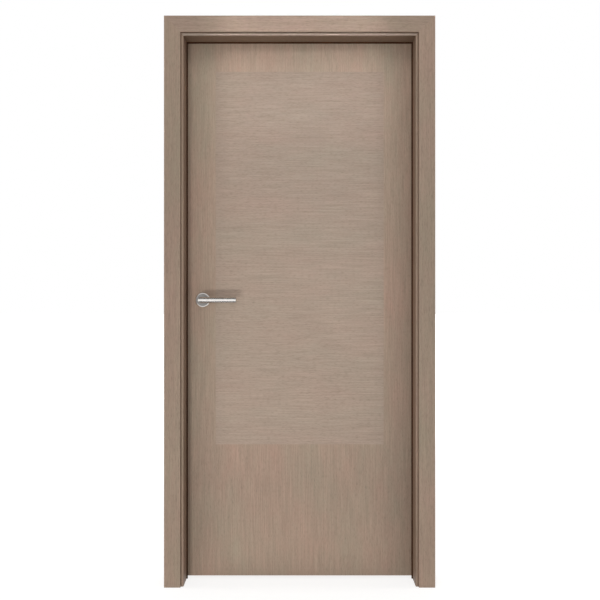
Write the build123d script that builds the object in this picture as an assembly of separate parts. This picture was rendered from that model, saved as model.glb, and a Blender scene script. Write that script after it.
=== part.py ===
from build123d import *
import os

# Interior door set in millimetres: a flush veneered leaf in a rebated lining, with casings on both
# wall faces. It is seen from the side it is pushed from: y = 0 is the middle of the wall, and the leaf
# opens to +y. x = 0 is the middle of the opening while the pieces are made. Each is then moved so that
# the row's origin is at the floor, on the face of the hinge jamb that is fixed to the wall.

# Leaf
leaf_width = 870
leaf_height = 2020
leaf_thick = 40
face_board_thick = 3.5
lipping_width = 8
stile_width = 34
top_rail_height = 40
bottom_rail_height = 60
latch_block_width = 80
latch_block_height = 400
inlay_thick = 1
inlay_side_margin = 118
inlay_top_margin = 119
inlay_bottom_margin = 495

# Lining round the leaf
floor_gap = 10
edge_gap = 6.5
stop_cover = 9
jamb_depth = 125
jamb_thick = 38
jamb_edge_radius = 1.5

# Casings
casing_width = 60
casing_thick = 10
casing_edge_radius = 1.5
casing_reveal = 10
tongue_thick = 4
tongue_length = 12
tongue_inset = 4
groove_clearance = 1
casing_relief_depth = 1
casing_relief_margin = 2

# Rubber seal in the corner of the rebate
seal_thick = 5
seal_touch_gap = 0.5
seal_show = 4.5
seal_tail = 6
seal_stem_thick = 2.4
seal_stem_length = 5
seal_barb = 0.5
seal_groove_inset = 3
seal_groove_thick = 3
seal_groove_depth = 6

# Butt hinges with three knuckles
hinge_names = ["bottom", "middle", "top"]
hinge_bottom_margin = 230
hinge_top_margin = 180
hinge_length = 100
hinge_plate_thick = 2.5
hinge_plate_depth = 28
hinge_corner_radius = 6
knuckle_count = 3
knuckle_radius = 6.5
knuckle_end_gap = 0.4
pin_radius = 3
pin_clearance = 0.06
pin_stand_off = 8
pin_head_height = 3.5
pin_head_top_radius = 4.5

# Lever handles on one square spindle
handle_height = 1050
backset = 70
rose_radius = 26.5
rose_thick = 8
rose_edge_chamfer = 1
lever_radius = 11
lever_reach = 129
lever_stand_off = 52
lever_end_chamfer = 0.8
neck_clearance = 0.1
neck_leaf_gap = 0.5
spindle_side = 8
spindle_grip = 25
spindle_clearance = 0.1
handle_bore_radius = 9

# Tubular latch
latch_radius = 11.5
latch_clearance = 0.2
latch_tail = 18
latch_cross_radius = 7
face_plate_width = 24
face_plate_height = 57
face_plate_thick = 3
face_plate_corner = 3
bolt_thick = 12
bolt_height = 16
bolt_length = 30
bolt_bevel = 9
bolt_nose_flat = 2
bolt_clearance = 0.3

# Strike plate
strike_height = 70
strike_width = 28
strike_thick = 2
strike_corner = 3
strike_lip_height = 36
strike_lip_radius = 1.2
strike_hole_margin = 2
strike_pocket_depth = 12

# Places that follow from the sizes
leaf_half = leaf_width / 2
leaf_bottom = floor_gap
leaf_top = floor_gap + leaf_height
clear_half = leaf_half - stop_cover
clear_top = leaf_top - stop_cover
rebate = stop_cover + edge_gap
wall_x = clear_half + jamb_thick
front_y = -jamb_depth / 2
back_y = jamb_depth / 2
leaf_back_y = back_y
leaf_front_y = leaf_back_y - leaf_thick
leaf_mid_y = (leaf_front_y + leaf_back_y) / 2
stop_y = leaf_front_y - seal_touch_gap - seal_thick
run_over = rebate + jamb_thick + casing_width
pin_x = leaf_half + edge_gap / 2
pin_y = leaf_back_y + pin_stand_off
handle_x = backset - leaf_half
case_end_x = handle_x + latch_tail
case_start_x = face_plate_thick - leaf_half
hinge_heights = [
    leaf_bottom + hinge_bottom_margin + hinge_length / 2,
    (leaf_bottom + hinge_bottom_margin + leaf_top - hinge_top_margin) / 2,
    leaf_top - hinge_top_margin - hinge_length / 2,
]


def block(x, y, z):
    """A block between the low and high values of each axis."""
    size = [high - low for low, high in (x, y, z)]
    middle = [(high + low) / 2 for low, high in (x, y, z)]
    return Pos(*middle) * Box(*size)


def rod(radius, start, end):
    """A round rod from one point to another."""
    line = Vector(*end) - Vector(*start)
    return extrude(Plane(origin=start, z_dir=line) * Circle(radius), line.length)


def outline(points):
    return make_face(Polyline(*points, close=True))


def eased(section, corners, radius):
    """The section with the named corners rounded."""
    points = [Vector(*corner) for corner in corners]
    chosen = [v for v in section.vertices() if min((v.center() - p).length for p in points) < 0.01]
    return fillet(chosen, radius)


# Lengths of a section round the opening. A section's x is measured outwards from the clear opening and its y
# is the row's own. The three lengths meet in mitres at the two top corners.


def side_length(section, foot=0):
    """The length on the hinge side, from the floor to its mitre."""
    blank = extrude(Plane(origin=(clear_half, 0, foot)) * section, clear_top + run_over - foot)
    mitre = Plane(origin=(clear_half, 0, clear_top), z_dir=(-1, 0, 1))
    return split(blank, mitre, keep=Keep.BOTTOM)


def head_length(section):
    """The length over the opening, between its two mitres."""
    reach = clear_half + run_over
    end = Plane(origin=(reach, 0, clear_top), x_dir=(0, 0, 1), z_dir=(-1, 0, 0))
    blank = extrude(end * section, 2 * reach)
    for side in (-1, 1):
        mitre = Plane(origin=(side * clear_half, 0, clear_top), z_dir=(-side, 0, 1))
        blank = split(blank, mitre, keep=Keep.TOP)
    return blank


def three_lengths(name, section, foot=0):
    hinge_side = side_length(section, foot)
    return {
        name.format("hinge_side"): hinge_side,
        name.format("latch_side"): mirror(hinge_side, about=Plane.YZ),
        name.format("head"): head_length(section),
    }


# Lining, casings and seal


def strip(start, end, near_y, far_y):
    """A rectangle in a section: a tongue, a groove or a relief."""
    return outline([(start, near_y), (end, near_y), (end, far_y), (start, far_y)])


def casing_tongue(reveal, face_y, inwards, length):
    """The casing's tongue, and with a longer length the groove in the lining's edge that takes it."""
    start = reveal + tongue_inset
    return strip(start, start + tongue_thick, face_y, face_y + inwards * length)


def lining_section():
    """The rebated section: the stop in front, and the thinner part that the leaf closes into."""
    body = outline([
        (0, front_y),
        (jamb_thick, front_y),
        (jamb_thick, back_y),
        (rebate, back_y),
        (rebate, stop_y),
        (0, stop_y),
    ])
    body = eased(body, [(0, front_y), (0, stop_y), (rebate, back_y)], jamb_edge_radius)
    seal_end = seal_groove_inset + seal_groove_thick
    seal_groove = strip(seal_groove_inset, seal_end, stop_y, stop_y - seal_groove_depth)
    groove_depth = tongue_length + groove_clearance
    front_groove = casing_tongue(casing_reveal, front_y, 1, groove_depth)
    back_groove = casing_tongue(rebate + casing_reveal, back_y, -1, groove_depth)
    return body - seal_groove - front_groove - back_groove


def casing_section(reveal, face_y, outwards):
    """A flat board with eased edges and the tongue that holds it in the lining's groove.

    Its back is relieved across the joint of lining and wall, so that it bears on each of them.
    """
    near, far = reveal, reveal + casing_width
    top = face_y + outwards * casing_thick
    board = eased(strip(near, far, face_y, top), [(near, top), (far, top)], casing_edge_radius)
    relief_start = reveal + tongue_inset + tongue_thick + casing_relief_margin
    relief_end = jamb_thick + casing_relief_margin
    relief = strip(relief_start, relief_end, face_y, face_y + outwards * casing_relief_depth)
    return board - relief + casing_tongue(reveal, face_y, -outwards, tongue_length)


def seal_section():
    """A bulb that shows beside the leaf, and a barbed stem pressed into the stop's groove."""
    middle = stop_y + seal_thick / 2
    radius = seal_thick / 2
    left, right = radius - seal_show, seal_tail - radius
    bulb = Pos((left + right) / 2, middle) * SlotCenterToCenter(right - left, seal_thick)
    stem_x = seal_groove_inset + seal_groove_thick / 2
    half, tip = seal_stem_thick / 2, stop_y - seal_stem_length
    wide = half + seal_barb / 2
    neck = tip + seal_stem_length / 3
    stem = outline([
        (stem_x - half, middle),
        (stem_x - half, neck),
        (stem_x - wide, neck),
        (stem_x - half / 2, tip),
        (stem_x + half / 2, tip),
        (stem_x + wide, neck),
        (stem_x + half, neck),
        (stem_x + half, middle),
    ])
    return bulb + stem


# Hinges


def plate_outline():
    """A hinge plate's face from its knuckle edge inwards, with its two far corners rounded."""
    height = hinge_length / 2
    shape = outline([(0, -height), (hinge_plate_depth, -height), (hinge_plate_depth, height), (0, height)])
    return eased(shape, [(hinge_plate_depth, -height), (hinge_plate_depth, height)], hinge_corner_radius)


def plate_slab(surface_x, side, height):
    """The plate let in flush with a surface, which is also the shape of its pocket."""
    face = Plane(origin=(surface_x, leaf_back_y, height), x_dir=(0, -1, 0), z_dir=(side, 0, 0))
    return extrude(face * plate_outline(), hinge_plate_thick)


def hinge_plate(side, height):
    """One side's plate with its knuckles: side is 1 on the jamb and -1 on the leaf."""
    surface_x = pin_x + side * edge_gap / 2
    plate = plate_slab(surface_x, side, height)
    length = (hinge_length - (knuckle_count - 1) * knuckle_end_gap) / knuckle_count
    band_x = sorted([surface_x, surface_x + side * hinge_plate_thick])
    first = 0 if side > 0 else 1
    for number in range(first, knuckle_count, 2):
        low = height - hinge_length / 2 + number * (length + knuckle_end_gap)
        ring = Circle(knuckle_radius) - Circle(pin_radius + pin_clearance)
        knuckle = extrude(Plane(origin=(pin_x, pin_y, low)) * ring, length)
        plate += knuckle + block(band_x, (leaf_back_y, pin_y), (low, low + length))
    return plate


def hinge_pin(height):
    """The pin, level with the bottom knuckle and with a tapered head that rests on the top one."""
    low, high = height - hinge_length / 2, height + hinge_length / 2
    head = Cone(knuckle_radius, pin_head_top_radius, pin_head_height)
    shank = rod(pin_radius, (pin_x, pin_y, low), (pin_x, pin_y, high))
    return shank + Pos(pin_x, pin_y, high + pin_head_height / 2) * head


# Latch and strike


def rounded_plate(width, height, thick, corner, surface_x, middle_y):
    """A plate whose outer face is at surface_x and which goes inwards to +x."""
    face = Plane(origin=(surface_x, middle_y, handle_height), x_dir=(0, 1, 0), z_dir=(1, 0, 0))
    return extrude(face * RectangleRounded(width, height, corner), thick)


def latch_face_plate():
    plate = rounded_plate(
        face_plate_width, face_plate_height, face_plate_thick, face_plate_corner, -leaf_half, leaf_mid_y
    )
    return plate - bolt_room(-leaf_half, case_start_x)


def bolt_room(start_x, end_x):
    """The bolt's way between two values of x, with its running clearance."""
    half = bolt_thick / 2 + bolt_clearance
    tall = bolt_height / 2 + bolt_clearance
    return block(
        (start_x, end_x),
        (leaf_mid_y - half, leaf_mid_y + half),
        (handle_height - tall, handle_height + tall),
    )


def latch_case():
    """The tube that is let into the leaf's edge, bored across for the spindle."""
    tube = rod(
        latch_radius, (case_start_x, leaf_mid_y, handle_height), (case_end_x, leaf_mid_y, handle_height)
    )
    across = rod(
        latch_cross_radius,
        (handle_x, leaf_mid_y - latch_radius, handle_height),
        (handle_x, leaf_mid_y + latch_radius, handle_height),
    )
    return tube - across - bolt_room(case_start_x, bolt_length - leaf_half)


def latch_bolt():
    """The bolt drawn in, its bevelled nose level with the face plate."""
    nose, tail = -leaf_half, bolt_length - leaf_half
    low, high = leaf_mid_y - bolt_thick / 2, leaf_mid_y + bolt_thick / 2
    shape = outline([
        (tail, low),
        (tail, high),
        (nose, high),
        (nose, high - bolt_nose_flat),
        (nose + bolt_bevel, low),
    ])
    return extrude(Plane(origin=(0, 0, handle_height - bolt_height / 2)) * shape, bolt_height)


def strike_blank():
    """The strike plate without its hole, let in flush with the latch jamb's rebate."""
    surface_x = -leaf_half - edge_gap - strike_thick
    plate = rounded_plate(strike_width, strike_height, strike_thick, strike_corner, surface_x, leaf_mid_y)
    lip = block(
        (surface_x, surface_x + strike_thick),
        (leaf_mid_y, back_y),
        (handle_height - strike_lip_height / 2, handle_height + strike_lip_height / 2),
    )
    corner = lip.edges().filter_by(Axis.Z).sort_by(Axis.Y)[-2:].sort_by(Axis.X)[-1]
    return plate + fillet(corner, strike_lip_radius)


def strike_room(depth):
    """The hole in the strike plate and the pocket behind it, from the plate's face into the jamb."""
    surface_x = -leaf_half - edge_gap
    half = bolt_thick / 2 + strike_hole_margin
    tall = bolt_height / 2 + strike_hole_margin
    return block(
        (surface_x - depth, surface_x),
        (leaf_mid_y - half, leaf_mid_y + half),
        (handle_height - tall, handle_height + tall),
    )


# Handles


def rose(face_y, outwards):
    """The round plate behind a lever, with its outer edge eased and a bore for the lever's neck."""
    foot = (handle_x, face_y, handle_height)
    face = (handle_x, face_y + outwards * rose_thick, handle_height)
    disc = rod(rose_radius, foot, face)
    rim = disc.edges().filter_by(GeomType.CIRCLE).sort_by(lambda e: outwards * e.center().Y)[-1]
    return chamfer(rim, rose_edge_chamfer) - rod(lever_radius + neck_clearance, foot, face)


def lever(face_y, outwards):
    """A round bar that leaves the rose, turns square in a mitre and ends flat."""
    turn_y = face_y + outwards * lever_stand_off
    neck_y = face_y + outwards * neck_leaf_gap
    mitre = Plane(origin=(handle_x, turn_y, handle_height), z_dir=(1, outwards, 0))
    past_turn = 2 * lever_radius
    neck = rod(
        lever_radius,
        (handle_x, neck_y, handle_height),
        (handle_x, turn_y + outwards * past_turn, handle_height),
    )
    arm = rod(
        lever_radius,
        (handle_x - past_turn, turn_y, handle_height),
        (handle_x + lever_reach, turn_y, handle_height),
    )
    end = arm.edges().filter_by(GeomType.CIRCLE).sort_by(Axis.X)[-1]
    arm = chamfer(end, lever_end_chamfer)
    bar = split(neck, mitre, keep=Keep.BOTTOM) + split(arm, mitre, keep=Keep.TOP)
    socket = spindle_side / 2 + spindle_clearance
    return bar - block(
        (handle_x - socket, handle_x + socket),
        sorted([neck_y, face_y + outwards * spindle_grip]),
        (handle_height - socket, handle_height + socket),
    )


def spindle():
    half = spindle_side / 2
    return block(
        (handle_x - half, handle_x + half),
        (leaf_front_y - spindle_grip, leaf_back_y + spindle_grip),
        (handle_height - half, handle_height + half),
    )


# Leaf


def leaf_blanks():
    """The frame of stiles and rails, its filling, the lippings and the face boards, before their holes."""
    board_half = leaf_half - lipping_width
    core_half = board_half - stile_width
    core_low = leaf_bottom + bottom_rail_height
    core_high = leaf_top - top_rail_height
    tall = (leaf_bottom, leaf_top)
    inner_front = leaf_front_y + face_board_thick
    inner_back = leaf_back_y - face_board_thick
    depth = (inner_front, inner_back)
    latch_block = block(
        (-core_half, latch_block_width - core_half),
        depth,
        (handle_height - latch_block_height / 2, handle_height + latch_block_height / 2),
    )
    return {
        "latch_stile": block((-board_half, -core_half), depth, tall),
        "hinge_stile": block((core_half, board_half), depth, tall),
        "bottom_rail": block((-core_half, core_half), depth, (leaf_bottom, core_low)),
        "top_rail": block((-core_half, core_half), depth, (core_high, leaf_top)),
        "latch_block": latch_block,
        "core_board": block((-core_half, core_half), depth, (core_low, core_high)) - latch_block,
        "front_face_board": block((-board_half, board_half), (leaf_front_y, inner_front), tall),
        "back_face_board": block((-board_half, board_half), (inner_back, leaf_back_y), tall),
        "latch_edge_lipping": block((-leaf_half, -board_half), (leaf_front_y, leaf_back_y), tall),
        "hinge_edge_lipping": block((board_half, leaf_half), (leaf_front_y, leaf_back_y), tall),
    }


def inlay(low_y, high_y):
    """The panel of cross grain, set flush in a face board."""
    half = leaf_half - inlay_side_margin
    low = leaf_bottom + inlay_bottom_margin
    high = leaf_top - inlay_top_margin
    return block((-half, half), (low_y, high_y), (low, high))


def leaf_pieces():
    pieces = leaf_blanks()
    cuts = {name: [] for name in pieces}
    for height in hinge_heights:
        cuts["hinge_edge_lipping"].append(plate_slab(leaf_half, -1, height))
    case_bore = rod(
        latch_radius + latch_clearance,
        (-leaf_half, leaf_mid_y, handle_height),
        (case_end_x + latch_clearance, leaf_mid_y, handle_height),
    )
    face_pocket = rounded_plate(
        face_plate_width, face_plate_height, face_plate_thick, face_plate_corner, -leaf_half, leaf_mid_y
    )
    handle_bore = rod(
        handle_bore_radius, (handle_x, leaf_front_y, handle_height), (handle_x, leaf_back_y, handle_height)
    )
    cuts["latch_edge_lipping"] += [case_bore, face_pocket]
    for name in ("latch_stile", "latch_block", "core_board"):
        cuts[name] += [case_bore, handle_bore]
    pieces["front_inlay_panel"] = inlay(leaf_front_y, leaf_front_y + inlay_thick)
    pieces["back_inlay_panel"] = inlay(leaf_back_y - inlay_thick, leaf_back_y)
    cuts["front_face_board"] += [handle_bore, pieces["front_inlay_panel"]]
    cuts["back_face_board"] += [handle_bore, pieces["back_inlay_panel"]]
    for name, tools in cuts.items():
        for tool in tools:
            pieces[name] = pieces[name] - tool
    return pieces


# Whole door set


def lining_pieces():
    pieces = three_lengths("{}_jamb", lining_section())
    for height in hinge_heights:
        pieces["hinge_side_jamb"] -= plate_slab(leaf_half + edge_gap, 1, height)
    pieces["latch_side_jamb"] = pieces["latch_side_jamb"] - strike_blank() - strike_room(strike_pocket_depth)
    pieces.update(three_lengths("front_{}_casing", casing_section(casing_reveal, front_y, -1)))
    pieces.update(three_lengths("back_{}_casing", casing_section(rebate + casing_reveal, back_y, 1)))
    pieces.update(three_lengths("{}_seal", seal_section()))
    return pieces


def hinge_pieces():
    pieces = {}
    for name, height in zip(hinge_names, hinge_heights):
        pieces[f"{name}_hinge_jamb_plate"] = hinge_plate(1, height)
        pieces[f"{name}_hinge_leaf_plate"] = hinge_plate(-1, height)
        pieces[f"{name}_hinge_pin"] = hinge_pin(height)
    return pieces


def handle_pieces():
    return {
        "strike_plate": strike_blank() - strike_room(strike_thick),
        "latch_face_plate": latch_face_plate(),
        "latch_case": latch_case(),
        "latch_bolt": latch_bolt(),
        "front_rose": rose(leaf_front_y, -1),
        "back_rose": rose(leaf_back_y, 1),
        "front_lever": lever(leaf_front_y, -1),
        "back_lever": lever(leaf_back_y, 1),
        "spindle": spindle(),
    }


pieces = {**lining_pieces(), **leaf_pieces(), **hinge_pieces(), **handle_pieces()}
os.makedirs("parts", exist_ok=True)
for name, piece in pieces.items():
    export_step(Pos(-wall_x, 0, 0) * piece, f"parts/{name}.step")
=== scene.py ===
import math

import bmesh
import bpy
from mathutils import Matrix, Vector


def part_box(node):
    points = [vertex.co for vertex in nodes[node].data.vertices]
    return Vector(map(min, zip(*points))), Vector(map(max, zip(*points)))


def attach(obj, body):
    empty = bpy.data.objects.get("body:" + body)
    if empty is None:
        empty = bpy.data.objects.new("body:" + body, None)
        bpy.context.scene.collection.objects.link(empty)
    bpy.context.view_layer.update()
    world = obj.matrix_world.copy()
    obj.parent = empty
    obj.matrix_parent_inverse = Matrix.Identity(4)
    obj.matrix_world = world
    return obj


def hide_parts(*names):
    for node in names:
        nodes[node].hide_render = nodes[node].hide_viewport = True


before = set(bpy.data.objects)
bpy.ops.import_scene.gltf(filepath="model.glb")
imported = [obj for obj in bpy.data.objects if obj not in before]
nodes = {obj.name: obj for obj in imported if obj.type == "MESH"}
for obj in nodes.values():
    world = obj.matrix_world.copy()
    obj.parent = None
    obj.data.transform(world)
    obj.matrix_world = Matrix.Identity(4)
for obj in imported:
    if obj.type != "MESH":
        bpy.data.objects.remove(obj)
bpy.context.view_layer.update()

# Interior door, in metres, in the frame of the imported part: +x is into the wall beside the hinge jamb, +y to
# the side the leaf opens to, and +z up. The photograph shows it square from the front, closed.
MM = 0.001
HINGES = ("bottom", "middle", "top")
HINGE_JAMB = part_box("hinge_side_jamb")
LATCH_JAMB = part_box("latch_side_jamb")
DOOR_MIDDLE = (HINGE_JAMB[1].x + LATCH_JAMB[0].x) / 2

# Which way each face of the door looks along y
FACES = {"front": -1, "back": 1}

# Camera: level, square to the door and just right of its middle
CAMERA_LENS = 47.2
CAMERA_AWAY = 2.947
CAMERA_HEIGHT = 1.095
CAMERA_ASIDE = 0.0014
CAMERA_SHIFT = -0.02

camera_data = bpy.data.cameras.new("camera")
camera_data.lens = CAMERA_LENS
camera_data.shift_y = CAMERA_SHIFT
camera = bpy.data.objects.new("camera", camera_data)
camera.location = (DOOR_MIDDLE + CAMERA_ASIDE, -CAMERA_AWAY, CAMERA_HEIGHT)
camera.rotation_euler = (math.pi / 2, 0, 0)
bpy.context.scene.collection.objects.link(camera)
bpy.context.scene.camera = camera
bpy.context.scene.view_settings.view_transform = "Standard"


def linear(hex_colour):
    """An sRGB hex colour as the linear colour that a shader takes."""
    channels = [int(hex_colour[i:i + 2], 16) / 255 for i in (1, 3, 5)]
    return [c / 12.92 if c <= 0.04045 else ((c + 0.055) / 1.055) ** 2.4 for c in channels] + [1]


def add(tree, kind, sockets=None, output=0, **settings):
    """Adds a node and gives its output. Sockets are values to set, or the outputs that feed them."""
    made = tree.nodes.new(kind)
    for name, value in settings.items():
        setattr(made, name, value)
    for name, value in (sockets or {}).items():
        if isinstance(value, bpy.types.NodeSocket):
            tree.links.new(value, made.inputs[name])
        else:
            made.inputs[name].default_value = value
    return made if output is None else made.outputs[output]


# Patterns that the materials share. Their sizes are lengths on the door.

# Nearly all of a noise lies between these values
NOISE_SPAN = (0.3, 0.7)


def noise(tree, place, size, detail=2.0, roughness=0.5, offset=0.0):
    """Noise from 0 to 1 whose blobs measure size, one length for each of x, y and z."""
    spot = add(tree, "ShaderNodeMapping", {
        "Vector": place,
        "Scale": [1 / length for length in size],
        "Location": (offset, 2 * offset, 3 * offset),
    })
    return add(tree, "ShaderNodeTexNoise", {
        "Vector": spot, "Scale": 1.0, "Detail": detail, "Roughness": roughness,
    })


def ranged(tree, value, old, new):
    """A value moved from one range to another, and kept inside it."""
    return add(tree, "ShaderNodeMapRange", {
        "Value": value, "From Min": old[0], "From Max": old[1], "To Min": new[0], "To Max": new[1],
    })


def blended(tree, factor, first, second):
    """Two colours mixed: the first at 0 and the second at 1."""
    return add(tree, "ShaderNodeMix", {0: factor, 6: first, 7: second}, output=2, data_type="RGBA")


def darkened(tree, factor, colour, filter_colour):
    """A colour as it looks through a tinted filter, at 1, or without it, at 0."""
    return add(tree, "ShaderNodeMix", {
        0: factor, 6: colour, 7: filter_colour,
    }, output=2, data_type="RGBA", blend_type="MULTIPLY")


def total(tree, *values):
    """Several values added up."""
    result = values[0]
    for value in values[1:]:
        result = add(tree, "ShaderNodeMath", {0: result, 1: value}, operation="ADD")
    return result


def facing(tree, normal, direction, least=0.9):
    """1 on the faces that look in a direction, and 0 on the others. Least is the cosine of the angle off."""
    along = add(tree, "ShaderNodeVectorMath", {0: normal, 1: direction}, output=1, operation="DOT_PRODUCT")
    return add(tree, "ShaderNodeMath", {0: along, 1: least}, operation="GREATER_THAN")


def bumped(tree, height, depth, strength=1.0):
    """The normal of a surface whose height goes up and down by depth."""
    return add(tree, "ShaderNodeBump", {"Height": height, "Distance": depth, "Strength": strength})


def new_material(name, **shader_values):
    """A material with its tree, its shader's inputs, and the Object coordinates and normal of its piece."""
    material = bpy.data.materials.new(name)
    material.use_nodes = True
    tree = material.node_tree
    shader = tree.nodes["Principled BSDF"]
    for socket, value in shader_values.items():
        shader.inputs[socket.replace("_", " ")].default_value = value
    place = add(tree, "ShaderNodeTexCoord", output="Object")
    normal = place.node.outputs["Normal"]
    return material, tree, shader.inputs, place, normal


# Materials


UP, DOWN = (0, 0, 1), (0, 0, -1)
LEFT, RIGHT = (-1, 0, 0), (1, 0, 0)
FRONT, BACK = (0, -1, 0), (0, 1, 0)

# Which way the wall lies from each side of the opening
OUTWARDS = {"hinge_side": RIGHT, "latch_side": LEFT, "head": UP}

# Marks in the oak: widths across the grain and lengths along it. Real pores are about 0.3 mm wide and real
# lines about 1 mm, too fine to show in the picture, so both are drawn coarser.
RIBBON_WIDTH, RIBBON_LENGTH = 38 * MM, 1.8
LINE_WIDTH, LINE_LENGTH = 3.5 * MM, 0.13
PORE_WIDTH, PORE_LENGTH = 1.7 * MM, 14 * MM
PATCH_WIDTH, PATCH_LENGTH = 0.19, 0.6
PATCH_DETAIL, PATCH_ROUGHNESS = 5, 0.75

# Only the peaks of their noise are pores: where they start, and where they are deepest
PORE_PEAKS = (0.5, 0.75)

# How far the grain wanders to the side, and over what length. It is straighter in the narrow strips.
WANDER = 3 * MM
WANDER_IN_STRIPS = 0.3 * MM
WANDER_LENGTH = 0.5

# How much each mark lightens or darkens the wood
RIBBON_SHADE = 0.015
LINE_SHADE = 0.11
BOARD_LINE_SHADE = 0.16
PANEL_LINE_SHADE = 0.14
PORE_SHADE = 0.2
BETWEEN_PORES = 0.03

# Where each kind of piece takes its pattern from, as if cut from a sheet of its own
LINING_SHEET, CASING_SHEET, BOARD_SHEET, PANEL_SHEET = 20, 30, 40, 50

# Painted light by height: where the veneer is painted paler, standing in for how the light falls brighter
# towards the head and the foot. Each entry gives the height where that starts, the height where it is
# complete, and how much.
# Less than nothing is darker, painted shade.
PALER_BOARD = ((0.36, 0.56, 0.06), (0.56, 1.95, 0.18), (0.35, 0.0, 0.11))
PALER_PANEL = ((0.62, 0.5, -0.03),)
PALER_CASING = {
    "hinge_side": ((0.95, 0.1, 0.12), (1.1, 2.0, 0.12)),
    "latch_side": ((0.6, 0.1, 0.06), (1.3, 2.0, 0.17)),
    "head": (),
}

# The stain's two tones, pinkish and greenish, between which the wood drifts
PANEL_TONES = ("#a99283", "#a39484")
BOARD_TONES = ("#a48878", "#978a78")
# The latch side's darker casing tones are painted shade that evens out the low lamp's light on that side
CASING_TONES = {
    "hinge_side": ("#ab8f7f", "#9f907c"),
    "latch_side": ("#a58a7a", "#998c78"),
    "head": ("#ad9484", "#a79581"),
}
# The head lining's paler tones are painted light on its front edge, under the head casing
LINING_TONES = {
    "hinge_side": ("#a98f7e", "#a18f7b"),
    "latch_side": ("#a38a79", "#9b8a76"),
    "head": ("#c2ab9d", "#bbab9b"),
}
LACQUER_ROUGHNESS = (0.5, 0.58)
PORE_ROUGHNESS = 0.1
GRAIN_DEPTH = 0.08 * MM

# Painted shade: a thin dark line in the corner beside the casings, and darker faces that look into the opening
CORNER_SHADE_WIDTH = 4.5 * MM
CORNER_SHADE_COLOUR = "#aa9f97"
INNER_SHADE_COLOURS = {"hinge_side": "#dcd2ce", "latch_side": "#e2d9d5", "head": "#a29589"}

# Bare fibre board. Its real specks are about half a millimetre wide, and are drawn coarser to show.
BARE_TONES = ("#987d5e", "#a88c6b")
BARE_SPECK = 1.6 * MM
BARE_DRIFT = 0.09
BARE_MOTTLE = (0.7, 1.3)


def grain_size(along, width, length):
    """The size of a mark that is long in the grain's direction and narrow across it."""
    return [length if axis == along else width for axis in "xyz"]


def corner_shade_line(tree, place, normal, side):
    """1 in the corner between the lining's edge and its two casings, where a thin dark line of painted shade
    goes.
    """
    outwards = OUTWARDS[side]
    reach = add(tree, "ShaderNodeVectorMath", {0: place, 1: outwards}, output=1, operation="DOT_PRODUCT")
    lines = []
    for face, direction in (("front", FRONT), ("back", BACK)):
        low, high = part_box(f"{face}_{side}_casing")
        edge = min(low.dot(Vector(outwards)), high.dot(Vector(outwards)))
        near = ranged(tree, reach, (edge - CORNER_SHADE_WIDTH, edge), (0, 1))
        lines.append(add(tree, "ShaderNodeMath", {
            0: near, 1: facing(tree, normal, direction),
        }, operation="MULTIPLY"))
    return total(tree, *lines)


def bare_board(tree, place):
    """The colour of sanded fibre board: straw brown, finely specked, with a slow drift."""
    speck = noise(tree, place, [BARE_SPECK] * 3, 3, 0.7)
    drift = noise(tree, place, [BARE_DRIFT] * 3, 3, 0.6)
    mottle = ranged(tree, total(tree, speck, drift), BARE_MOTTLE, (0, 1))
    return blended(tree, mottle, linear(BARE_TONES[0]), linear(BARE_TONES[1]))


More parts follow.
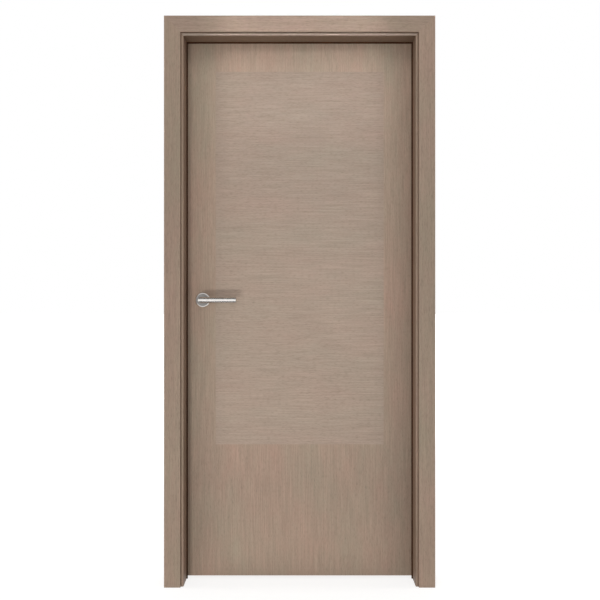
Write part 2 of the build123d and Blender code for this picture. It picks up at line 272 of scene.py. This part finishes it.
def veneer(name, tones, along, raw_faces, sheet, paler=(), line_shade=LINE_SHADE, side=None):
    """Straight-sliced oak veneer, stained taupe and lacquered matt, pressed on wood fibre board.

    It reads as fine even lines along the grain, faint broad ribbons, short dark pores, and slow drifts
    between a pinkish and a greenish taupe. The lacquer keeps it dull. The faces listed as raw are bare
    board. A sheet may be painted paler towards its ends, and darker in places, as painted light and shade by
    height.
    On a side of the opening the grain runs straighter, and the faces that look into the opening are painted
    darker as painted shade. On the lining a thin dark line of painted shade runs in the corner beside the
    casings.
    """
    material, tree, shader, place, normal = new_material(name, IOR=1.5)
    wander = WANDER_IN_STRIPS if side else WANDER
    # What each noise adds to the sheet's number keeps the patterns apart
    sway = noise(tree, place, [WANDER_LENGTH] * 3, detail=1, offset=sheet + 7)
    swayed = add(tree, "ShaderNodeVectorMath", {
        0: add(tree, "ShaderNodeCombineXYZ", {"X": sway, "Y": sway, "Z": sway}),
        1: [wander] * 3,
        2: place,
    }, operation="MULTIPLY_ADD")
    ribbon = noise(tree, swayed, grain_size(along, RIBBON_WIDTH, RIBBON_LENGTH), offset=sheet)
    line = noise(tree, swayed, grain_size(along, LINE_WIDTH, LINE_LENGTH), 3, 0.6, sheet + 3)
    pore = noise(tree, swayed, grain_size(along, PORE_WIDTH, PORE_LENGTH), 1, 0.5, sheet + 5)
    patch_size = grain_size(along, PATCH_WIDTH, PATCH_LENGTH)
    patch = noise(tree, place, patch_size, PATCH_DETAIL, PATCH_ROUGHNESS, sheet + 11)
    pores = ranged(tree, pore, PORE_PEAKS, (0, 1))
    shade = total(
        tree,
        ranged(tree, ribbon, NOISE_SPAN, (1 - RIBBON_SHADE, 1 + RIBBON_SHADE)),
        ranged(tree, line, NOISE_SPAN, (-line_shade, line_shade)),
        ranged(tree, pores, (0, 1), (BETWEEN_PORES, -PORE_SHADE)),
    )
    # Painted light and shade by height, for how the light falls on the piece
    height = add(tree, "ShaderNodeSeparateXYZ", {"Vector": place}, output=2)
    for start, end, amount in paler:
        shade = total(tree, shade, ranged(tree, height, (start, end), (0, amount)))
    tone = blended(tree, ranged(tree, patch, NOISE_SPAN, (0, 1)), linear(tones[0]), linear(tones[1]))
    wood = add(tree, "ShaderNodeVectorMath", {0: tone, 3: shade}, operation="SCALE")
    # Painted shade on the faces that look into the opening, darkest under the head
    if side:
        inner = facing(tree, normal, [-length for length in OUTWARDS[side]])
        wood = darkened(tree, inner, wood, linear(INNER_SHADE_COLOURS[side]))
    # Painted shade: a thin dark line on the lining beside the casings
    if name.endswith("jamb"):
        wood = darkened(tree, corner_shade_line(tree, place, normal, side), wood, linear(CORNER_SHADE_COLOUR))
    rough = total(
        tree,
        ranged(tree, line, NOISE_SPAN, LACQUER_ROUGHNESS),
        ranged(tree, pores, (0, 1), (0, PORE_ROUGHNESS)),
    )
    if raw_faces:
        bare = total(tree, *[facing(tree, normal, direction) for direction in raw_faces])
        wood = blended(tree, bare, wood, bare_board(tree, place))
        rough = add(tree, "ShaderNodeMath", {0: rough, 1: bare}, operation="MAXIMUM", use_clamp=True)
    tree.links.new(wood, shader["Base Color"])
    tree.links.new(rough, shader["Roughness"])
    relief = total(tree, line, ranged(tree, pores, (0, 1), (0, -1)))
    tree.links.new(bumped(tree, relief, GRAIN_DEPTH, 0.5), shader["Normal"])
    return material


PINE_RING = (6 * MM, 9 * MM, 0.2)


def planed_pine():
    """Planed pine, uncoated: yellow, with darker latewood lines. It shows at the leaf's top and foot."""
    material, tree, shader, place, normal = new_material("planed_pine", Roughness=0.7)
    ring = noise(tree, place, PINE_RING, 2, 0.6)
    colour = blended(tree, ranged(tree, ring, (0.35, 0.65), (0, 1)), linear("#a8763f"), linear("#d0a56d"))
    tree.links.new(colour, shader["Base Color"])
    tree.links.new(bumped(tree, ring, 0.1 * MM), shader["Normal"])
    return material


CHIP_SIZE = (5 * MM, 2 * MM, 5 * MM)


def particle_board():
    """Pressed chip board: flat chips a few millimetres long in brown and straw colours."""
    material, tree, shader, place, normal = new_material("particle_board", Roughness=0.85)
    spot = add(tree, "ShaderNodeMapping", {"Vector": place, "Scale": [1 / length for length in CHIP_SIZE]})
    chips = add(tree, "ShaderNodeTexVoronoi", {"Vector": spot, "Scale": 1.0}, output="Color")
    chip = add(tree, "ShaderNodeSeparateXYZ", {"Vector": chips})
    colour = blended(tree, chip, linear("#7d5c3a"), linear("#c19a68"))
    tree.links.new(colour, shader["Base Color"])
    tree.links.new(bumped(tree, chip, 0.3 * MM), shader["Normal"])
    return material


def seal_rubber():
    """Extruded thermoplastic rubber, dark brown: dull, with a faint bloom that lightens it in patches."""
    material, tree, shader, place, normal = new_material("extruded_rubber", Specular_IOR_Level=0.1)
    bloom = noise(tree, place, (30 * MM, 30 * MM, 90 * MM), 3, 0.6)
    colour = blended(tree, ranged(tree, bloom, NOISE_SPAN, (0, 1)), linear("#371b07"), linear("#45260f"))
    tree.links.new(colour, shader["Base Color"])
    tree.links.new(ranged(tree, bloom, NOISE_SPAN, (0.6, 0.75)), shader["Roughness"])
    skin = noise(tree, place, [1.5 * MM] * 3, 2)
    tree.links.new(bumped(tree, skin, 0.05 * MM), shader["Normal"])
    return material


HAIRLINE_WIDTH, HAIRLINE_LENGTH = 0.4 * MM, 150 * MM
HAIRLINE_DEPTH = 0.003 * MM
STEEL_CLOUD = 14 * MM


def brushed_steel():
    """Stainless steel ground with a fine belt: hairlines along the bar break up its highlights.

    The real lines are a few hundredths of a millimetre apart. They are drawn ten times as coarse, to show.
    """
    material, tree, shader, place, normal = new_material("brushed_stainless_steel", Metallic=1.0)
    hair = noise(tree, place, grain_size("x", HAIRLINE_WIDTH, HAIRLINE_LENGTH), 2, 0.6)
    cloud = noise(tree, place, [STEEL_CLOUD] * 3, 2)
    colour = blended(tree, ranged(tree, cloud, NOISE_SPAN, (0, 1)), linear("#d6d3cf"), linear("#e0ddd9"))
    tree.links.new(colour, shader["Base Color"])
    tree.links.new(ranged(tree, hair, NOISE_SPAN, (0.19, 0.25)), shader["Roughness"])
    tree.links.new(bumped(tree, hair, HAIRLINE_DEPTH, 0.6), shader["Normal"])
    return material


# Where the handle is: the middle of its spindle
HANDLE = (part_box("spindle")[0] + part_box("spindle")[1]) / 2

# Real rings of a lathe are about 0.1 mm apart, too fine to show, so they are drawn coarser
LATHE_RING = 0.5 * MM
LATHE_RING_DEPTH = 0.01 * MM


def turned_steel():
    """Stainless steel finished on a lathe, with fine rings. Its face is painted dark grey, painted shade for a
    dim reflection; the rim is bright steel.
    """
    material, tree, shader, place, normal = new_material("turned_stainless_steel", Metallic=1.0)
    centred = add(tree, "ShaderNodeMapping", {
        "Vector": place, "Location": (-HANDLE.x, 0, -HANDLE.z), "Scale": (1, 0, 1),
    })
    radius = add(tree, "ShaderNodeVectorMath", {0: centred}, output=1, operation="LENGTH")
    rings = add(tree, "ShaderNodeTexNoise", {
        "W": add(tree, "ShaderNodeMath", {0: radius, 1: LATHE_RING}, operation="DIVIDE"),
        "Scale": 1.0,
        "Detail": 2.0,
    }, noise_dimensions="1D")
    cloud = noise(tree, place, [STEEL_CLOUD] * 3, 2)
    # Painted shade: the face's dark grey stands in for a dim reflection; the rim keeps the steel's own bright
    # colour
    flat = blended(tree, ranged(tree, cloud, NOISE_SPAN, (0, 1)), linear("#827f7c"), linear("#908d8a"))
    face = total(tree, facing(tree, normal, FRONT, 0.99), facing(tree, normal, BACK, 0.99))
    tree.links.new(blended(tree, face, linear("#d4d1cd"), flat), shader["Base Color"])
    rough = add(tree, "ShaderNodeMix", {
        0: face, 2: 0.3, 3: ranged(tree, rings, NOISE_SPAN, (0.3, 0.42)),
    })
    tree.links.new(rough, shader["Roughness"])
    tree.links.new(bumped(tree, rings, LATHE_RING_DEPTH, 0.6), shader["Normal"])
    return material


def plated_steel():
    """Pressed steel with a satin nickel plating: a warm grey, a little cloudy, with soft highlights."""
    material, tree, shader, place, normal = new_material("nickel_plated_steel", Metallic=1.0)
    cloud = noise(tree, place, [9 * MM] * 3, 3, 0.6)
    colour = blended(tree, ranged(tree, cloud, NOISE_SPAN, (0, 1)), linear("#a5a29b"), linear("#bab7b0"))
    tree.links.new(colour, shader["Base Color"])
    tree.links.new(ranged(tree, cloud, NOISE_SPAN, (0.28, 0.4)), shader["Roughness"])
    tree.links.new(bumped(tree, cloud, 0.01 * MM), shader["Normal"])
    return material


steel_bar = brushed_steel()
steel_face = turned_steel()
nickel = plated_steel()
pine = planed_pine()
chip_board = particle_board()
rubber = seal_rubber()


def coat(name, material):
    """Gives a node of the part its material."""
    slots = nodes[name].data.materials
    slots.clear()
    slots.append(material)


def coat_opening():
    """One veneer for each piece: the grain runs along it, and its back and its foot are bare board."""
    for number, (side, outwards) in enumerate(OUTWARDS.items()):
        backs = {f"{side}_jamb": outwards, f"front_{side}_casing": BACK, f"back_{side}_casing": FRONT}
        for name, back in backs.items():
            along = "x" if side == "head" else "z"
            raw = (back,) if side == "head" else (back, DOWN)
            if name.endswith("jamb"):
                tones, sheet, paler = LINING_TONES[side], LINING_SHEET, ()
            else:
                tones, sheet, paler = CASING_TONES[side], CASING_SHEET, PALER_CASING[side]
            coat(name, veneer(f"oak_veneer_{name}", tones, along, raw, sheet + number, paler, side=side))


def coat_leaf():
    """Upright veneer on the face boards and lippings, level veneer on the inlaid panels, raw wood inside."""
    ends = (UP, DOWN)
    for face in FACES:
        name = f"{face}_face_board"
        coat(name, veneer(
            f"oak_veneer_{name}", BOARD_TONES, "z", ends, BOARD_SHEET, PALER_BOARD, BOARD_LINE_SHADE,
        ))
        name = f"{face}_inlay_panel"
        coat(name, veneer(
            f"oak_veneer_{name}", PANEL_TONES, "x", (), PANEL_SHEET, PALER_PANEL, PANEL_LINE_SHADE,
        ))
    for edge in ("hinge", "latch"):
        name = f"{edge}_edge_lipping"
        coat(name, veneer(f"oak_veneer_{name}", BOARD_TONES, "z", ends, BOARD_SHEET))
    for name in ("hinge_stile", "latch_stile", "top_rail", "bottom_rail", "latch_block"):
        coat(name, pine)
    coat("core_board", chip_board)


def coat_hardware():
    """Rubber in the rebate, and nickel on the hinges, the latch, its plates and the spindle."""
    for side in OUTWARDS:
        coat(f"{side}_seal", rubber)
    for place in HINGES:
        for part in ("hinge_jamb_plate", "hinge_leaf_plate", "hinge_pin"):
            coat(f"{place}_{part}", nickel)
    for name in ("latch_case", "latch_face_plate", "latch_bolt", "strike_plate", "spindle"):
        coat(name, nickel)


coat_opening()
coat_leaf()
coat_hardware()


# Pieces modelled here

SHARP_ANGLE = math.radians(30)


def bevel_edges(mesh, edges, radius, segments):
    """Rounds edges with a radius."""
    bmesh.ops.bevel(
        mesh, geom=edges, offset=radius, segments=segments, profile=0.5, affect="EDGES", material=-1,
    )


def finish_piece(name, mesh, material, body):
    """Makes an object of a bmesh that is in its place, with smooth faces between sharp edges."""
    bmesh.ops.recalc_face_normals(mesh, faces=mesh.faces)
    data = bpy.data.meshes.new(name)
    mesh.to_mesh(data)
    mesh.free()
    data.materials.append(material)
    data.polygons.foreach_set("use_smooth", [True] * len(data.polygons))
    data.set_sharp_from_angle(angle=SHARP_ANGLE)
    made = bpy.data.objects.new(name, data)
    bpy.context.scene.collection.objects.link(made)
    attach(made, body)
    return made


ROSE_BORE_CLEARANCE = 0.1 * MM
ROSE_RIM_WIDTH = 3.6 * MM
ROSE_RIM_DROP = 0.8 * MM
ROSE_EDGE_RADIUS = 0.6 * MM
ROSE_SEGMENTS = 96


def rose(face):
    """The rose, turned from one profile: a flat face, a shallow sloping rim and a bore for the neck."""
    outwards = FACES[face]
    low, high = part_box(f"{face}_rose")
    lever_low, lever_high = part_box(f"{face}_lever")
    outer = (high.x - low.x) / 2
    bore = (lever_high.z - lever_low.z) / 2 + ROSE_BORE_CLEARANCE
    wall_y, face_y = (high.y, low.y) if face == "front" else (low.y, high.y)
    outline = (
        (bore, wall_y),
        (bore, face_y),
        (outer - ROSE_RIM_WIDTH, face_y),
        (outer, face_y - outwards * ROSE_RIM_DROP),
        (outer, wall_y),
    )
    mesh = bmesh.new()
    profile = [mesh.verts.new((HANDLE.x + radius, y, HANDLE.z)) for radius, y in outline]
    edges = [mesh.edges.new((profile[i - 1], profile[i])) for i in range(len(profile))]
    bmesh.ops.spin(
        mesh, geom=profile + edges, cent=HANDLE, axis=(0, 1, 0), angle=2 * math.pi,
        steps=ROSE_SEGMENTS, use_merge=True,
    )
    # The two circles at the rim's inner and outer edge
    rim_edges = [e for e in mesh.edges if all(
        (v.co.xz - HANDLE.xz).length > bore + MM and abs(v.co.y - wall_y) > MM for v in e.verts
    ) and abs(e.verts[0].co.y - e.verts[1].co.y) < MM / 10]
    bevel_edges(mesh, rim_edges, ROSE_EDGE_RADIUS, 3)
    made = finish_piece(f"{face}_rose_turned", mesh, steel_face, "leaf")
    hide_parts(f"{face}_rose")


LEVER_SEGMENTS = 64
LEVER_END_RADIUS = 0.8 * MM
LEVER_MITRE_RADIUS = 0.3 * MM


def drawn_out(mesh, end):
    """Extrudes the end of a bar. Gives the new end and its corners, still where the old end is."""
    out = bmesh.ops.extrude_face_region(mesh, geom=[end])["geom"]
    new_end = next(part for part in out if isinstance(part, bmesh.types.BMFace))
    return new_end, list(new_end.verts)


def lever(face):
    """The lever: one round bar that leaves the rose, turns square in a mitre and ends flat."""
    outwards = FACES[face]
    low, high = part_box(f"{face}_lever")
    radius = (high.z - low.z) / 2
    neck_y, turn_y = (high.y, low.y + radius) if face == "front" else (low.y, high.y - radius)
    turn = Vector((HANDLE.x, turn_y, HANDLE.z))
    mesh = bmesh.new()
    upright = Matrix.Translation((HANDLE.x, neck_y, HANDLE.z)) @ Matrix.Rotation(math.pi / 2, 4, "X")
    bmesh.ops.create_circle(mesh, cap_ends=True, segments=LEVER_SEGMENTS, radius=radius, matrix=upright)
    mesh.faces.ensure_lookup_table()
    # The neck's end slides along y onto the slope of the mitre
    end, corners = drawn_out(mesh, mesh.faces[0])
    slope = Matrix.Identity(4)
    slope[1][0], slope[1][1] = -outwards, 0
    bmesh.ops.transform(mesh, matrix=slope, verts=corners, space=Matrix.Translation(-turn))
    mitre = set(corners)
    # From there the bar's end slides along x to the tip
    end, corners = drawn_out(mesh, end)
    tip = Matrix.Translation((-high.x, 0, 0))
    bmesh.ops.scale(mesh, vec=(0, 1, 1), verts=corners, space=tip)
    mitre_edges = [e for e in mesh.edges if mitre.issuperset(e.verts)]
    bevel_edges(mesh, list(end.edges), LEVER_END_RADIUS, 4)
    bevel_edges(mesh, mitre_edges, LEVER_MITRE_RADIUS, 2)
    made = finish_piece(f"{face}_lever_bar", mesh, steel_bar, "handle")
    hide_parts(f"{face}_lever")


# Countersunk screws. Only the dome, the edge of the head and the recess show.
SCREW_HEAD_RADIUS = 4.1 * MM
SCREW_POINT_RADIUS = 1.2 * MM
SCREW_CONE = 2 * MM
SCREW_STANDS = 0.05 * MM
SCREW_DOME = 0.35 * MM
SCREW_SEGMENTS = 32

# Points on the dome: shares of the head's radius and of the dome's height
DOME_STEPS = ((0.6, 0.7), (0.2, 1.0))
RECESS_ARM = 2.3 * MM
RECESS_HALF_WIDTH = 0.5 * MM
RECESS_DEPTH = 1.4 * MM
RECESS_TAPER = 0.6
SCREW_TURN = math.radians(37)


def screw_dome(mesh):
    """The faces on top of a screw's head, with their edges and corners."""
    faces = [f for f in mesh.faces if f.calc_center_median().z > SCREW_STANDS]
    return faces + list({part for f in faces for part in [*f.edges, *f.verts]})


def screw_head():
    """A raised countersunk head with a cross recess. It looks to +z from the origin."""
    mesh = bmesh.new()
    outline = (
        (SCREW_POINT_RADIUS, -SCREW_CONE),
        (SCREW_HEAD_RADIUS, -SCREW_STANDS),
        (SCREW_HEAD_RADIUS, SCREW_STANDS),
        *[(SCREW_HEAD_RADIUS * across, SCREW_STANDS + SCREW_DOME * up) for across, up in DOME_STEPS],
    )
    profile = [mesh.verts.new((radius, 0, height)) for radius, height in outline]
    edges = [mesh.edges.new(pair) for pair in zip(profile, profile[1:])]
    bmesh.ops.spin(
        mesh, geom=profile + edges, cent=(0, 0, 0), axis=(0, 0, 1), angle=2 * math.pi,
        steps=SCREW_SEGMENTS, use_merge=True,
    )
    bmesh.ops.holes_fill(mesh, edges=[e for e in mesh.edges if e.is_boundary])
    # Cuts across the dome mark out the cross, which then sinks
    for axis in (Vector((1, 0, 0)), Vector((0, 1, 0))):
        for reach in (-RECESS_ARM, -RECESS_HALF_WIDTH, RECESS_HALF_WIDTH, RECESS_ARM):
            bmesh.ops.bisect_plane(mesh, geom=screw_dome(mesh), plane_co=axis * reach, plane_no=axis)
    cross = []
    for face in screw_dome(mesh):
        if isinstance(face, bmesh.types.BMFace):
            near, far = sorted(abs(length) for length in face.calc_center_median().xy)
            if near < RECESS_HALF_WIDTH and far < RECESS_ARM:
                cross.append(face)
    sunk = bmesh.ops.extrude_face_region(mesh, geom=cross)["geom"]
    floor = [part for part in sunk if isinstance(part, bmesh.types.BMVert)]
    bmesh.ops.translate(mesh, vec=(0, 0, -RECESS_DEPTH), verts=floor)
    bmesh.ops.scale(mesh, vec=(RECESS_TAPER, RECESS_TAPER, 1), verts=floor)
    return mesh


def screws(name, spots, looks, body):
    """Screw heads at several spots of a plate that looks one way, each turned a little further."""
    mesh = screw_head()
    head = mesh.verts[:] + mesh.edges[:] + mesh.faces[:]
    copies = [head] + [bmesh.ops.duplicate(mesh, geom=head)["geom"] for spot in spots[1:]]
    upright = Vector(looks).to_track_quat("Z", "Y").to_matrix().to_4x4()
    for number, (spot, parts) in enumerate(zip(spots, copies)):
        corners = [part for part in parts if isinstance(part, bmesh.types.BMVert)]
        turn = Matrix.Rotation(number * SCREW_TURN, 4, "Z")
        bmesh.ops.transform(mesh, matrix=Matrix.Translation(spot) @ upright @ turn, verts=corners)
    finish_piece(name, mesh, nickel, body)


# Screws on a hinge plate: how far from the edge away from the pin, and how high from its middle
HINGE_SCREWS = ((19 * MM, 37 * MM), (9 * MM, 13 * MM), (9 * MM, -13 * MM), (19 * MM, -37 * MM))
LATCH_SCREW_RISE = 20 * MM
STRIKE_SCREW_RISE = 25 * MM


def hinge_screws(place):
    """Four screws on each plate of a hinge. The plates' faces lie as far from the pin on either side."""
    leaf_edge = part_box("hinge_edge_lipping")[1].x
    for part, looks, body in (("leaf", RIGHT, "leaf"), ("jamb", LEFT, "frame")):
        low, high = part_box(f"{place}_hinge_{part}_plate")
        surface = leaf_edge if part == "leaf" else low.x + high.x - leaf_edge
        middle = (low.z + high.z) / 2
        spots = [(surface, low.y + inset, middle + rise) for inset, rise in HINGE_SCREWS]
        screws(f"{place}_hinge_{part}_screws", spots, looks, body)


def latch_screws():
    """Two screws on the latch's face plate and two on the strike plate."""
    low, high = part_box("latch_face_plate")
    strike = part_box("strike_plate")[1]
    middle = (low + high) / 2
    for name, surface, looks, body, rise in (
        ("latch_face_plate", low.x, LEFT, "leaf", LATCH_SCREW_RISE),
        ("strike_plate", strike.x, RIGHT, "frame", STRIKE_SCREW_RISE),
    ):
        spots = [(surface, middle.y, middle.z + way * rise) for way in (-1, 1)]
        screws(f"{name}_screws", spots, looks, body)


for face in FACES:
    rose(face)
    lever(face)
for place in HINGES:
    hinge_screws(place)
latch_screws()


# Stage: a pale floor under a white world, with soft lamps

# How strongly the world lights the door, whatever it shows the camera
WORLD_LIGHT = 0.34
FLOOR_SIZE = 60
FLOOR_DROP = 0.5 * MM

# How white the floor glows to the camera. Near the door it shows a smaller share of that, which keeps the
# door's shadow. The reach is how far off the share starts to grow, and where it is whole.
FLOOR_GLOW = 1.35
FLOOR_GLOW_SHARES = (0.6, 1.0)
SHADOW_REACH = (1.2, 3.2)


def seen_directly(tree):
    """1 for what the camera sees, itself or in gloss and glass, and 0 for light that falls on things."""
    path = add(tree, "ShaderNodeLightPath", output="Is Camera Ray").node
    return total(tree, *[path.outputs[f"Is {kind} Ray"] for kind in ("Camera", "Glossy", "Transmission")])


def light_world():
    """A dim white world that shows as full white to the camera and in the steel."""
    world = bpy.data.worlds.new("studio")
    bpy.context.scene.world = world
    world.use_nodes = True
    tree = world.node_tree
    tree.nodes.clear()
    light = add(tree, "ShaderNodeBackground", {"Color": (1, 1, 1, 1), "Strength": WORLD_LIGHT})
    backdrop = add(tree, "ShaderNodeBackground", {"Color": (1, 1, 1, 1), "Strength": 1.0})
    mixed = add(tree, "ShaderNodeMixShader", {0: seen_directly(tree), 1: light, 2: backdrop})
    add(tree, "ShaderNodeOutputWorld", {"Surface": mixed}, output=None)


def stage_sheet(name, low, high, height, material):
    """A level sheet between two corners, which isn't part of the door."""
    mesh = bmesh.new()
    bmesh.ops.create_grid(mesh, x_segments=1, y_segments=1, size=0.5)
    middle = ((low[0] + high[0]) / 2, (low[1] + high[1]) / 2, height)
    bmesh.ops.scale(mesh, vec=(high[0] - low[0], high[1] - low[1], 1), verts=mesh.verts)
    bmesh.ops.translate(mesh, vec=middle, verts=mesh.verts)
    data = bpy.data.meshes.new(name)
    mesh.to_mesh(data)
    mesh.free()
    data.materials.append(material)
    made = bpy.data.objects.new(name, data)
    bpy.context.scene.collection.objects.link(made)
    return made


def floor_paint():
    """Matt white paint. It glows to the camera, more so away from the door, and so meets the backdrop."""
    material, tree, shader, place, normal = new_material("matt_floor_paint", Roughness=0.9)
    cloud = noise(tree, place, [0.4] * 3)
    tone = blended(tree, ranged(tree, cloud, NOISE_SPAN, (0, 1)), linear("#f0f0ee"), linear("#f4f4f2"))
    tree.links.new(tone, shader["Base Color"])
    glow = add(tree, "ShaderNodeEmission", {"Color": (1, 1, 1, 1), "Strength": FLOOR_GLOW})
    reach = add(tree, "ShaderNodeVectorMath", {
        0: place, 1: (DOOR_MIDDLE, 0, 0),
    }, output=1, operation="DISTANCE")
    amount = add(tree, "ShaderNodeMath", {
        0: seen_directly(tree), 1: ranged(tree, reach, SHADOW_REACH, FLOOR_GLOW_SHARES),
    }, operation="MULTIPLY")
    paint = shader["Base Color"].node.outputs["BSDF"]
    mixed = add(tree, "ShaderNodeMixShader", {0: amount, 1: paint, 2: glow})
    tree.links.new(mixed, tree.nodes["Material Output"].inputs["Surface"])
    return material


def felt():
    """Dark wool felt: nearly black, with a little fluff."""
    material, tree, shader, place, normal = new_material("wool_felt", Roughness=1.0)
    fluff = noise(tree, place, [8 * MM] * 3)
    tree.links.new(blended(tree, fluff, linear("#1c1b1a"), linear("#2a2928")), shader["Base Color"])
    return material


def lay_floor():
    """The floor lies a hair under the door's feet."""
    half = FLOOR_SIZE / 2
    low, high = (DOOR_MIDDLE - half, -half), (DOOR_MIDDLE + half, half)
    stage_sheet("floor", low, high, -FLOOR_DROP, floor_paint())


# The cards: how near the door they start, how far out and how high each one is
CARD_NEAR = 0.16
CARD_HALF_WIDTH = 2
CARDS = {"upper": (1.25, 2.6), "lower": (0.9, 0.03)}


def hang_cards():
    """Dark cards over and under the levers, before and behind the door. Only the steel mirrors them."""
    dark = felt()
    left, right = DOOR_MIDDLE - CARD_HALF_WIDTH, DOOR_MIDDLE + CARD_HALF_WIDTH
    for name, (far, height) in CARDS.items():
        for face, outwards in FACES.items():
            start, end = sorted((outwards * CARD_NEAR, outwards * far))
            card = stage_sheet(f"{face}_{name}_card", (left, start), (right, end), height, dark)
            card.visible_camera = False
            card.visible_diffuse = False
            card.visible_shadow = False
            card.visible_transmission = False


def hang_lamp(name, place, target, size, power, spread=180):
    """A soft box that points at a spot, with its width and height, and its power in watts.

    Place and target are measured from the middle of the door at the floor. A small spread, in degrees, keeps
    the light to the lamp's own width and height. The steel mirrors the white world and no lamp.
    """
    data = bpy.data.lights.new(name, "AREA")
    data.shape = "RECTANGLE"
    data.size, data.size_y = size
    data.energy = power
    data.spread = math.radians(spread)
    lamp = bpy.data.objects.new(name, data)
    lamp.location = (DOOR_MIDDLE + place[0], place[1], place[2])
    lamp.rotation_euler = (Vector(target) - Vector(place)).to_track_quat("-Z", "Y").to_euler()
    lamp.visible_camera = False
    lamp.visible_glossy = False
    bpy.context.scene.collection.objects.link(lamp)


HANDLE_ASIDE = HANDLE.x - DOOR_MIDDLE
SIDE_LAMP_AWAY = 2.46

light_world()
lay_floor()
hang_cards()

# The front's broad light, from the right
hang_lamp("front_lamp", (1.1, -2.0, 1.6), (1.1, 0, 1.6), (3.4, 3.2), 6.6)

# A little more light on the middle of the leaf, its top and the head casing
hang_lamp("middle_lamp", (0, -1.7, 0.99), (0, 0, 0.99), (0.66, 1.9), 0.84, 8)
hang_lamp("head_lamp", (0, -1.6, 1.84), (0, 0, 1.84), (0.62, 0.34), 0.1, 8)
hang_lamp("casing_lamp", (0, -1.6, 2.6), (0, -0.07, 2.065), (0.62, 0.12), 0.068, 5)

# Soft light from above, and a small lamp near the floor, which casts the lever's shadow upwards
hang_lamp("upper_lamp", (0, -1.0, 2.9), (0, -0.07, 2.0), (1.4, 0.4), 4.6)
hang_lamp("low_lamp", (HANDLE_ASIDE - 0.43, -1.95, 0.08), (HANDLE_ASIDE, 0, HANDLE.z), (0.3, 0.3), 17)

# The back and the two sides
hang_lamp("rear_lamp", (0, 2.0, 2.0), (0, 0, 2.0), (3.4, 3.6), 36)
for name, away in (("hinge_side_lamp", SIDE_LAMP_AWAY), ("latch_side_lamp", -SIDE_LAMP_AWAY)):
    hang_lamp(name, (away, 0, 1.1), (0, 0, 1.1), (0.4, 2.4), 20)
